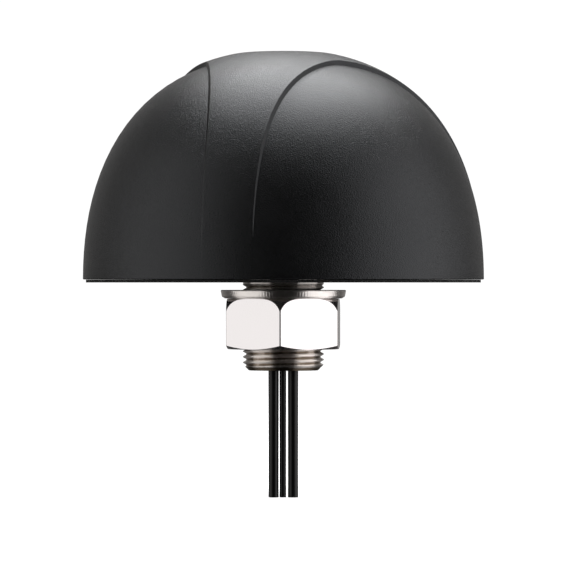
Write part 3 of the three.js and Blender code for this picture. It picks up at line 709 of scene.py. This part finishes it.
def build_core(name, layer, x, inner, outer, lift):
    """A short length of one layer inside the cut end of a cable."""
    angles = full_turn(CABLE_COLUMNS)
    bottom, top = CABLE_END + lift, CABLE_END + CUT_DEPTH - 0.1
    if inner > 0:
        edge = min(0.04, (outer - inner) / 3)
        profile = [(inner, top), (inner, bottom), (outer, bottom), (outer, top), (inner, top)]
    else:
        edge = 0.06
        profile = [(0, bottom), (outer, bottom), (outer, top), (0, top)]
    data = Surface().grid(moved(lathe(profile, angles, edge), x)).mesh(f"{name}_{layer}_end")
    return add_object(f"{name}_{layer}_end", data)


def build_cables():
    for name, cable in CABLES.items():
        x, radius, side = cable["x"], cable["radius"], cable["side"]
        tail = f"{name}_tail"
        jacket = build_cable(name, x, radius, side)
        paint(jacket, jacket_finish())
        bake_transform(jacket)
        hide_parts(f"{name}_lead", f"{tail}_jacket")
        # Layer, inner and outer radius as shares of the cable's, height above the cut, finish and slot.
        layers = (
            ("braid", DIELECTRIC_SHARE, BRAID_SHARE, 0.05, braid_finish(), "braid"),
            ("dielectric", CONDUCTOR_SHARE, DIELECTRIC_SHARE, 0.02, dielectric_finish(), "dielectric"),
            ("conductor", 0, CONDUCTOR_SHARE, 0, copper_finish(), "copper"),
        )
        for layer, inner, outer, lift, finish, slot in layers:
            core = build_core(name, layer, x, radius * inner, radius * outer - LAYER_GAP, lift)
            settle(core, finish, f"{tail}_{layer}")


def build_grommet():
    """A rubber plug in the stud's bore, with a lipped hole for each cable."""
    top, bottom = high("cable_grommet")[2], low("cable_grommet")[2]
    outer = high("cable_grommet")[0]
    half_way, groove = (top + bottom) / 2, 0.6
    profile = [(0, top), (outer, top), (outer, half_way + groove), (outer - groove / 2, half_way),
               (outer, half_way - groove), (outer, bottom), (0, bottom)]
    plug = Surface().grid(lathe(profile, full_turn(64), 0.3))
    item = add_object("bore_grommet", plug.mesh("bore_grommet"))
    holes = [screw_cutter(c["x"], 0, bottom - 1, top + 1, c["radius"] + 0.08) for c in CABLES.values()]
    return crisp(carve(item, holes))


# ---------------------------------------------------------------- fasteners
def cross_recess(top, up):
    """A tapered cross for a screw's drive, opening at top."""
    rings = []
    for z, reach, half in (
        (top + RECESS_LIFT * up, RECESS_REACH, RECESS_HALF_TOP),
        (top - RECESS_DEPTH * up, RECESS_REACH * RECESS_TAPER, RECESS_HALF_BOTTOM),
    ):
        corners = [(-reach, -half), (reach, -half), (reach, half), (-reach, half), (-reach, -half)]
        rings.append([(x, y, z) for x, y in corners])
    first, last = ([(0, 0, ring[0][2])] * len(ring) for ring in rings)
    grid = np.array([first, *rings, last], float)
    return [Surface().grid(spun(grid, turn)).mesh("recess") for turn in (0, math.pi / 2)]


def screw_mesh(name, tip, seat, top):
    """A pan-head screw with a threaded shank from tip to the underside of its head, and a cross recess."""
    up = 1 if top > tip else -1
    angles = full_turn(32)
    shank_low, shank_high = sorted((tip, seat))
    root, tip_radius = SHANK - SCREW_THREAD, SHANK - SCREW_POINT
    body = Surface()

    def limit(radius, z):
        return np.minimum(radius, tip_radius + np.abs(z - tip) * 0.9)

    body.grid(thread_grid(angles, SHANK, root, SCREW_PITCH, shank_low, shank_high, 0, limit))
    body.grid(lathe([(tip_radius, tip), (0, tip)], angles))
    side = seat + 0.55 * (top - seat)
    head = [(root, seat), (HEAD, seat), (HEAD, side), (HEAD * 0.74, top), (0, top)]
    body.grid(lathe(head, angles, [0, 0.12, 0.3, 0.5, 0], 4))
    item = add_object(name, body.mesh(name))
    carve(item, cross_recess(top, up))
    data = item.data
    bpy.data.objects.remove(item)
    return data


def place_screws():
    base, flange, ground = low("base_screw_1")[2], high("stud_screw_1")[2], high("ground_screw_1")[2]
    back = math.pi / 2
    # Name, places, and the heights of the tip, the head's underside and its top.
    groups = (
        ("base_screw", around(BOSSES, BOSS_CIRCLE), high("base_screw_1")[2], base + BASE_HEAD_HEIGHT, base),
        ("stud_screw", around(FLANGE_SCREWS, FLANGE_CIRCLE, back), low("stud_screw_1")[2],
         flange - HEAD_HEIGHT, flange),
        ("ground_screw", around(PILLARS, PILLAR_CIRCLE, back), low("ground_screw_1")[2],
         ground - HEAD_HEIGHT, ground),
    )
    for name, places, tip, seat, top in groups:
        data = screw_mesh(f"{name}_mesh", tip, seat, top)
        for i, (x, y, _) in enumerate(places):
            node = f"{name}_{i + 1}"
            item = add_object(f"{name}_fine_{i + 1}", data)
            item.location = (x * MM, y * MM, 0)
            settle(crisp(item), zinc_finish(), node)


def build_standoffs():
    """Hexagonal brass pillars, turned down at both ends."""
    top, bottom = high("standoff_1")[2], low("standoff_1")[2]
    angles = full_turn(72)
    hexagon = PILLAR_FLAT / np.cos((angles + math.pi / 6) % (math.pi / 3) - math.pi / 6)
    shoulder = hexagon - PILLAR_FLAT + 0.1
    hole_end = top - PILLAR_HOLE_DEPTH

    def at(radius, z):
        return np.stack(np.broadcast_arrays(radius, z, hexagon)[:2]).astype(float)

    profile = [
        at(0, bottom), at(PILLAR_NECK, bottom), at(PILLAR_NECK, BASE_TOP), at(PILLAR_FLAT, BASE_TOP),
        at(hexagon, BASE_TOP + shoulder), at(hexagon, top - shoulder), at(PILLAR_FLAT, top),
        at(SCREW_HOLE + 0.2, top), at(SCREW_HOLE, top - 0.3), at(SCREW_HOLE, hole_end), at(0, hole_end - 0.5),
    ]
    chain = rounded(profile, 0.08)
    data = Surface().grid(np.stack([circle(p[0], angles, p[1]) for p in chain])).mesh("pillar")
    for i, (x, y, _) in enumerate(around(PILLARS, PILLAR_CIRCLE, math.pi / 2)):
        item = add_object(f"pillar_{i + 1}", data)
        item.location = (x * MM, y * MM, 0)
        settle(crisp(item), brass_finish(), f"standoff_{i + 1}")


# ---------------------------------------------------------------- materials
class Nodes:
    """A node tree that is built up one node at a time."""

    def __init__(self, tree):
        self.tree = tree

    def put(self, socket, value):
        """Links a socket, or sets a plain value. A colour may be given without its alpha."""
        if hasattr(value, "is_output"):
            self.tree.links.new(value, socket)
        elif socket.type == "RGBA":
            socket.default_value = (*value[:3], 1)
        else:
            socket.default_value = value

    def node(self, kind, **inputs):
        """A new node. The names of its inputs have underscores for spaces."""
        node = self.tree.nodes.new(f"ShaderNode{kind}")
        for name, value in inputs.items():
            self.put(node.inputs[name.replace("_", " ")], value)
        return node

    def math(self, kind, a, b=0.0):
        node = self.node("Math")
        node.operation = kind
        self.put(node.inputs[0], a)
        self.put(node.inputs[1], b)
        return node.outputs[0]

    def ramp(self, value, start, end, low=0.0, high=1.0):
        """Value between start and end as a number between low and high."""
        node = self.node("MapRange", Value=value, From_Min=start, From_Max=end, To_Min=low, To_Max=high)
        return node.outputs["Result"]

    def mix(self, share, first, second):
        """One shader node turning into another."""
        node = self.node("MixShader")
        for socket, value in zip(node.inputs, (share, first.outputs[0], second.outputs[0])):
            self.put(socket, value)
        return node.outputs[0]


class Finish(Nodes):
    """A Principled material. Scales are in features per metre."""

    def __init__(self, name, colour, roughness, metallic=0.0, **inputs):
        self.material = bpy.data.materials.new(name)
        self.material.use_nodes = True
        super().__init__(self.material.node_tree)
        self.surface = self.tree.nodes["Principled BSDF"]
        self.set("Base Color", colour)
        self.set("Roughness", roughness)
        self.set("Metallic", metallic)
        for key, value in inputs.items():
            self.set(key.replace("_", " "), value)
        self.place = self.node("TexCoord").outputs["Object"]

    def set(self, name, value):
        self.put(self.surface.inputs[name], value)

    def stretched(self, x, y, z):
        return self.node("Mapping", Vector=self.place, Scale=(x, y, z)).outputs["Vector"]

    def noise(self, scale, detail=3.0, place=None):
        place = place or self.place
        return self.node("TexNoise", Vector=place, Scale=scale, Detail=detail, Roughness=0.55).outputs["Fac"]

    def cells(self, scale):
        return self.node("TexVoronoi", Vector=self.place, Scale=scale).outputs["Distance"]

    def blend(self, share, first, second):
        node = self.node("Mix")
        node.data_type = "RGBA"
        colours = [s for s in node.inputs if s.type == "RGBA"]
        factor = next(s for s in node.inputs if s.type == "VALUE")
        for socket, value in ((factor, share), (colours[0], first), (colours[1], second)):
            self.put(socket, value)
        return next(s for s in node.outputs if s.type == "RGBA")

    def radius(self):
        """Distance from the stud's axis, in metres."""
        parts = self.node("SeparateXYZ", Vector=self.place).outputs
        squares = [self.math("MULTIPLY", parts[axis], parts[axis]) for axis in ("X", "Y")]
        return self.math("SQRT", self.math("ADD", *squares))

    def colour(self, value):
        self.set("Base Color", value)

    def rough(self, value):
        self.set("Roughness", value)

    def vary(self, cloud, first, second, smooth, rough):
        """Colour and roughness that follow one noise."""
        self.colour(self.blend(cloud, first, second))
        self.rough(self.ramp(cloud, 0.3, 0.7, smooth, rough))

    def bump(self, height, depth, strength=1.0):
        node = self.node("Bump", Height=height, Distance=depth, Strength=strength)
        current = self.surface.inputs["Normal"].links
        if current:
            self.put(node.inputs["Normal"], current[0].from_socket)
        self.set("Normal", node.outputs["Normal"])


made = {}


def finish_once(build):
    """Keeps one material per finish, however many pieces share it."""
    def get():
        if build.__name__ not in made:
            made[build.__name__] = build()
        return made[build.__name__]
    return get


@finish_once
def shell_finish():
    """Black moulded plastic with a fine spark-eroded grain."""
    f = Finish("spark_eroded_plastic", (0.002, 0.002, 0.0022), 0.4, Specular_Tint=(0.96, 0.99, 1.03))
    grain = f.noise(4000, 1)
    pits = f.cells(3100)
    broad = f.noise(45, 3)
    f.colour(f.blend(f.ramp(broad, 0.35, 0.7), (0.0015, 0.0016, 0.0018), (0.0028, 0.0029, 0.0032)))
    f.rough(f.ramp(f.math("ADD", grain, f.math("MULTIPLY", broad, 0.5)), 0.45, 1.1, 0.25, 0.51))
    f.bump(f.math("ADD", grain, f.math("MULTIPLY", pits, 0.6)), 0.00016, 0.5)
    return f.material


@finish_once
def base_finish():
    """Dark moulded plastic, a little coarser than the shell."""
    f = Finish("base_plastic", (0.02, 0.02, 0.021), 0.6)
    grain = f.noise(1800, 2)
    f.colour(f.blend(f.noise(60), (0.016, 0.016, 0.017), (0.026, 0.026, 0.027)))
    f.rough(f.ramp(grain, 0.3, 0.7, 0.52, 0.68))
    f.bump(grain, 0.00008, 0.5)
    return f.material


@finish_once
def foam_finish():
    """Closed-cell foam with small open pores on its cut faces."""
    f = Finish("gasket_foam", (0.012, 0.012, 0.012), 0.92)
    cells = f.cells(1500)
    f.colour(f.blend(f.ramp(cells, 0.1, 0.6), (0.006, 0.006, 0.006), (0.02, 0.02, 0.02)))
    f.bump(cells, 0.0002, 0.8)
    return f.material


@finish_once
def rubber_finish():
    f = Finish("seal_rubber", (0.014, 0.014, 0.014), 0.7)
    grain = f.noise(900, 4)
    f.vary(grain, (0.009, 0.009, 0.009), (0.022, 0.022, 0.021), 0.6, 0.82)
    f.bump(grain, 0.00005, 0.6)
    return f.material


def nickel(name, tint, shade_start, shade_end):
    """Nickel plate with fine tool marks, and painted shade where the surface is closest to the axis: a
    darker, browner and rougher surface in the thread roots and round the bore.
    """
    f = Finish(name, tint, 0.2, 1.0)
    marks = f.noise(1.0, 4, f.stretched(500, 500, 9000))
    cloud = f.noise(260, 4)
    wander = f.ramp(cloud, 0.3, 0.7, -0.00015, 0.00015)
    # Painted shade near the axis: the mask below is 0 there, where the brown shade colour shows and the
    # surface is rougher, and 1 further out, where the tint shows.
    out_of_shade = f.ramp(f.math("ADD", f.radius(), wander), shade_start, shade_end)
    shade_colour = f.blend(f.ramp(cloud, 0.45, 0.75), (0.2, 0.16, 0.12), (0.34, 0.28, 0.22))
    f.colour(f.blend(out_of_shade, shade_colour, tint))
    f.rough(f.math("ADD", f.ramp(out_of_shade, 0, 1, 0.3, 0.0), f.ramp(marks, 0.25, 0.75, 0.08, 0.16)))
    f.bump(marks, 0.00002, 0.35)
    f.bump(f.noise(1400, 3), 0.00002, 0.3)
    return f


def turned(f):
    """Tool marks round the axis spread reflections up and down, and hardly sideways."""
    tangent = f.node("Tangent")
    tangent.direction_type = "RADIAL"
    tangent.axis = "Z"
    f.set("Tangent", tangent.outputs["Tangent"])
    f.set("Anisotropic", 0.9)
    f.set("Anisotropic Rotation", 0.25)
    f.rough(f.ramp(f.noise(700, 3), 0.3, 0.7, 0.3, 0.38))
    return f.material


@finish_once
def stud_finish():
    return turned(nickel("stud_nickel", (0.95, 0.9, 0.86), THREAD_ROOT * MM, (THREAD_ROOT + 0.4) * MM))


@finish_once
def washer_finish():
    return turned(nickel("washer_nickel", (0.95, 0.9, 0.86), 0.012, 0.0135))


@finish_once
def nut_finish():
    return nickel("nut_nickel", (0.93, 0.9, 0.9), 0.0122, 0.0128).material


@finish_once
def zinc_finish():
    f = Finish("zinc_plate", (0.6, 0.61, 0.62), 0.32, 1.0)
    cloud = f.noise(900, 4)
    f.vary(cloud, (0.5, 0.52, 0.55), (0.7, 0.7, 0.68), 0.24, 0.42)
    f.bump(f.noise(5000, 2), 0.00001, 0.5)
    return f.material


@finish_once
def aluminium_finish():
    """Rolled sheet with a grain along X."""
    f = Finish("sheet_aluminium", (0.62, 0.63, 0.64), 0.35, 1.0)
    grain = f.noise(1.0, 4, f.stretched(120, 5200, 5200))
    f.vary(grain, (0.55, 0.56, 0.57), (0.7, 0.71, 0.72), 0.28, 0.44)
    f.bump(grain, 0.00001, 0.5)
    return f.material


@finish_once
def brass_finish():
    f = Finish("turned_brass", (0.62, 0.44, 0.18), 0.28, 1.0)
    cloud = f.noise(600, 4)
    f.vary(cloud, (0.5, 0.34, 0.13), (0.7, 0.52, 0.24), 0.22, 0.4)
    f.bump(f.noise(1.0, 3, f.stretched(300, 300, 8000)), 0.00001, 0.5)
    return f.material


@finish_once
def copper_finish():
    f = Finish("bare_copper", (0.62, 0.3, 0.17), 0.3, 1.0)
    cloud = f.noise(1200, 4)
    f.vary(cloud, (0.5, 0.22, 0.12), (0.72, 0.38, 0.24), 0.22, 0.4)
    f.bump(cloud, 0.00001, 0.5)
    return f.material


@finish_once
def nylon_finish():
    f = Finish("natural_nylon", (0.72, 0.69, 0.6), 0.5, Subsurface_Weight=0.15, Subsurface_Scale=0.002)
    cloud = f.noise(300, 3)
    f.colour(f.blend(cloud, (0.66, 0.63, 0.54), (0.78, 0.75, 0.67)))
    f.rough(f.ramp(f.noise(2200, 2), 0.3, 0.7, 0.42, 0.58))
    f.bump(f.noise(2200, 2), 0.00003, 0.5)
    return f.material


@finish_once
def board_finish():
    """Glass-fibre board under green solder resist, with the weave showing faintly."""
    f = Finish("circuit_board", (0.015, 0.12, 0.05), 0.35, Coat_Weight=0.4, Coat_Roughness=0.2)
    warp = f.noise(1.0, 1, f.stretched(2600, 400, 400))
    weft = f.noise(1.0, 1, f.stretched(400, 2600, 2600))
    weave = f.math("MAXIMUM", warp, weft)
    f.colour(f.blend(f.ramp(weave, 0.45, 0.75), (0.01, 0.085, 0.035), (0.02, 0.15, 0.065)))
    f.rough(f.ramp(weave, 0.4, 0.8, 0.3, 0.42))
    f.bump(weave, 0.00003, 0.5)
    return f.material


@finish_once
def ceramic_finish():
    f = Finish("fired_ceramic", (0.62, 0.57, 0.47), 0.55)
    speck = f.cells(2600)
    f.colour(f.blend(f.ramp(speck, 0.05, 0.3), (0.38, 0.34, 0.27), (0.66, 0.61, 0.5)))
    f.rough(f.ramp(f.noise(1500), 0.3, 0.7, 0.48, 0.64))
    f.bump(f.noise(2400, 3), 0.00004, 0.6)
    return f.material


@finish_once
def silver_finish():
    f = Finish("fired_silver", (0.78, 0.77, 0.74), 0.3, 1.0)
    cloud = f.noise(700, 4)
    f.vary(cloud, (0.66, 0.64, 0.58), (0.84, 0.83, 0.81), 0.26, 0.46)
    f.bump(f.noise(3500, 3), 0.00001, 0.2)
    return f.material


@finish_once
def jacket_finish():
    """Glossy black cable jacket, very slightly wavy along its length."""
    f = Finish("cable_jacket", (0.003, 0.003, 0.0032), 0.3, Specular_IOR_Level=0.36)
    waves = f.noise(1.0, 2, f.stretched(300, 300, 90))
    grain = f.noise(2800, 2)
    f.colour(f.blend(waves, (0.0025, 0.0025, 0.0027), (0.005, 0.005, 0.0048)))
    f.rough(f.ramp(grain, 0.3, 0.7, 0.28, 0.34))
    f.bump(waves, 0.00001, 0.1)
    return f.material


@finish_once
def braid_finish():
    """Tinned copper strands crossing one another."""
    f = Finish("tinned_braid", (0.5, 0.49, 0.47), 0.38, 1.0)
    strands = f.cells(5200)
    f.colour(f.blend(f.ramp(strands, 0.1, 0.6), (0.62, 0.61, 0.58), (0.2, 0.19, 0.18)))
    f.bump(strands, 0.00005, 0.8)
    return f.material


@finish_once
def dielectric_finish():
    f = Finish("cable_dielectric", (0.78, 0.77, 0.73), 0.4, Subsurface_Weight=0.2, Subsurface_Scale=0.001)
    cloud = f.noise(1500, 2)
    f.vary(cloud, (0.7, 0.69, 0.65), (0.84, 0.83, 0.8), 0.34, 0.5)
    f.bump(cloud, 0.00001, 0.4)
    return f.material


@finish_once
def chip_finish():
    f = Finish("chip_package", (0.02, 0.02, 0.02), 0.55)
    grain = f.noise(6000, 2)
    f.colour(f.blend(grain, (0.012, 0.012, 0.012), (0.03, 0.03, 0.03)))
    f.bump(grain, 0.00002, 0.5)
    return f.material


def paint(item, material):
    """Gives a piece its material."""
    item.data.materials.clear()
    item.data.materials.append(material)


def settle(item, material, node):
    """Paints a piece, lets it ride on its CAD node's body and stands it in for that node."""
    paint(item, material)
    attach(item, frame["nodes"][node]["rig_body"])
    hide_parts(node)


def bevel_cad(node, width):
    """Small rounded edges on a CAD node that is shown as it is."""
    item = frame["nodes"][node]
    bevel = item.modifiers.new("soft_edges", "BEVEL")
    bevel.width = width
    bevel.segments = 2
    bevel.limit_method = "ANGLE"
    bevel.angle_limit = math.radians(40)
    bevel.harden_normals = False


def paint_cad_nodes():
    """The inner CAD nodes whose shapes are right keep them, and get their finishes here."""
    groups = (
        (("base_plate",), base_finish(), "base_plastic", 0.15),
        (("radome_seal", "stud_seal"), rubber_finish(), "seal_rubber", 0.05),
        (("ground_plate",), aluminium_finish(), "sheet_aluminium", 0.1),
        (("patch_pedestal", "cell_main_holder", "cell_aux_holder"), nylon_finish(), "nylon", 0.12),
        (("amplifier_board", "cell_main_blade", "cell_aux_blade"), board_finish(), "circuit_board", 0.05),
        (("amplifier_shield",), zinc_finish(), "zinc_steel", 0.05),
        (("band_filter", "patch_antenna"), ceramic_finish(), "ceramic", 0.1),
        (("amplifier_chip",), chip_finish(), "base_plastic", 0.05),
        (("patch_electrode",), silver_finish(), "silver_plate", 0.0),
        (("patch_feed_pin",), brass_finish(), "brass", 0.03),
        (("cell_main_radiator", "cell_aux_radiator", "cell_main_lead_pin", "gnss_lead_pin",
          "cell_aux_lead_pin"), copper_finish(), "copper", 0.0),
    )
    for nodes, material, slot, width in groups:
        for node in nodes:
            paint(frame["nodes"][node], material)
            if width:
                bevel_cad(node, width * MM)


# ---------------------------------------------------------------- stage
SUBJECT_DISTANCE = 1.3
FIELD_WIDTH = 0.1544  # width of the picture at the subject
SENSOR = 36.0
CAMERA_SHIFT = 0.0007
HORIZON_SHIFT = -0.0061


def build_camera():
    """A long lens level with the mounting plane."""
    data = bpy.data.cameras.new("camera")
    data.sensor_width = SENSOR
    data.lens = SENSOR * SUBJECT_DISTANCE / FIELD_WIDTH
    data.shift_y = HORIZON_SHIFT
    data.clip_start, data.clip_end = 0.05, 20
    camera = add_object("camera", data)
    camera.location = (CAMERA_SHIFT, -SUBJECT_DISTANCE, MOUNT)
    camera.rotation_euler = (math.pi / 2, 0, 0)
    bpy.context.scene.camera = camera


def softbox(name, azimuth, elevation, distance, width, tall, radiance, colour):
    """A rectangular light that faces the nut. Azimuth is from the camera's side towards +X."""
    data = bpy.data.lights.new(name, "AREA")
    data.shape = "RECTANGLE"
    data.size, data.size_y = width, tall
    data.energy = radiance * math.pi * width * tall
    data.color = colour
    light = add_object(name, data)
    a, e = math.radians(azimuth), math.radians(elevation)
    away = Vector((math.sin(a) * math.cos(e), -math.cos(a) * math.cos(e), math.sin(e)))
    light.location = Vector((0, 0, MOUNT)) + away * distance
    light.rotation_euler = away.to_track_quat("Z", "Y").to_euler()
    light.visible_camera = False


def build_lights():
    softbox("left_box", -73, -5, 0.8, 1.06, 1.9, 0.92, (1.0, 0.985, 0.975))
    softbox("right_box", 78, -5, 0.8, 1.08, 1.9, 1.32, (1.0, 0.985, 0.99))
    softbox("top_box", -12, 106.5, 0.9, 0.84, 0.98, 6.0, (1, 1, 1))


ROOM_FRONT = 0.02
ROOM_BACK = 0.3
ROOM_DEPTH = (-0.1, 0.9)  # directions along Y between which the one turns into the other
ROOM_DARK = 0.15  # share of that light below the horizon
ROOM_HORIZON = (-0.3, 0)  # directions along Z between which the light rises to the whole
BACKDROP = 1.05


def build_surroundings():
    """White behind the subject, and in reflections a dim room that is lighter at its far end."""
    world = bpy.data.worlds.new("studio")
    bpy.context.scene.world = world
    world.use_nodes = True
    sky = Nodes(world.node_tree)
    direction = sky.node("SeparateXYZ", Vector=sky.node("TexCoord").outputs["Generated"]).outputs
    away = sky.ramp(direction["Y"], *ROOM_DEPTH, ROOM_FRONT, ROOM_BACK)
    above = sky.ramp(direction["Z"], *ROOM_HORIZON, ROOM_DARK, 1.0)
    room = sky.tree.nodes["Background"]
    sky.put(room.inputs["Color"], (1, 0.98, 0.96))
    sky.put(room.inputs["Strength"], sky.math("MULTIPLY", away, above))
    backdrop = sky.node("Background", Color=(1, 1, 1), Strength=BACKDROP)
    seen = sky.node("LightPath").outputs["Is Camera Ray"]
    sky.put(sky.tree.nodes["World Output"].inputs["Surface"], sky.mix(seen, room, backdrop))


FLOOR_HALF = 6.0
FLOOR_Z = -0.0002


def build_floor():
    """A pale floor just under the cut ends of the cables. Only the camera sees it, and only from above."""
    corners = [(x * FLOOR_HALF, y * FLOOR_HALF, FLOOR_Z) for x, y in ((-1, -1), (1, -1), (1, 1), (-1, 1))]
    data = bpy.data.meshes.new("floor")
    data.from_pydata(corners, [], [(0, 1, 2, 3)])
    f = Finish("pale_floor", (0.8, 0.8, 0.8), 0.9, Emission_Color=(1, 1, 1), Emission_Strength=1.0)
    from_above = f.math("SUBTRACT", f.node("LightPath").outputs["Is Camera Ray"],
                        f.node("NewGeometry").outputs["Backfacing"])
    side = f.mix(from_above, f.node("BsdfTransparent"), f.surface)
    f.put(f.tree.nodes["Material Output"].inputs["Surface"], side)
    data.materials.append(f.material)
    add_object("floor", data)


# ---------------------------------------------------------------- scene
settle(build_radome(), shell_finish(), "radome")
settle(build_gasket(), foam_finish(), "foam_gasket")
settle(build_stud(), stud_finish(), "threaded_stud")
settle(build_washer(), washer_finish(), "lock_washer")
settle(build_nut(), nut_finish(), "hex_nut")
settle(build_grommet(), rubber_finish(), "cable_grommet")
build_cables()
place_screws()
build_standoffs()
paint_cad_nodes()
build_camera()
build_lights()
build_surroundings()
build_floor()
bpy.context.scene.view_settings.view_transform = "Standard"

bpy.context.view_layer.update()
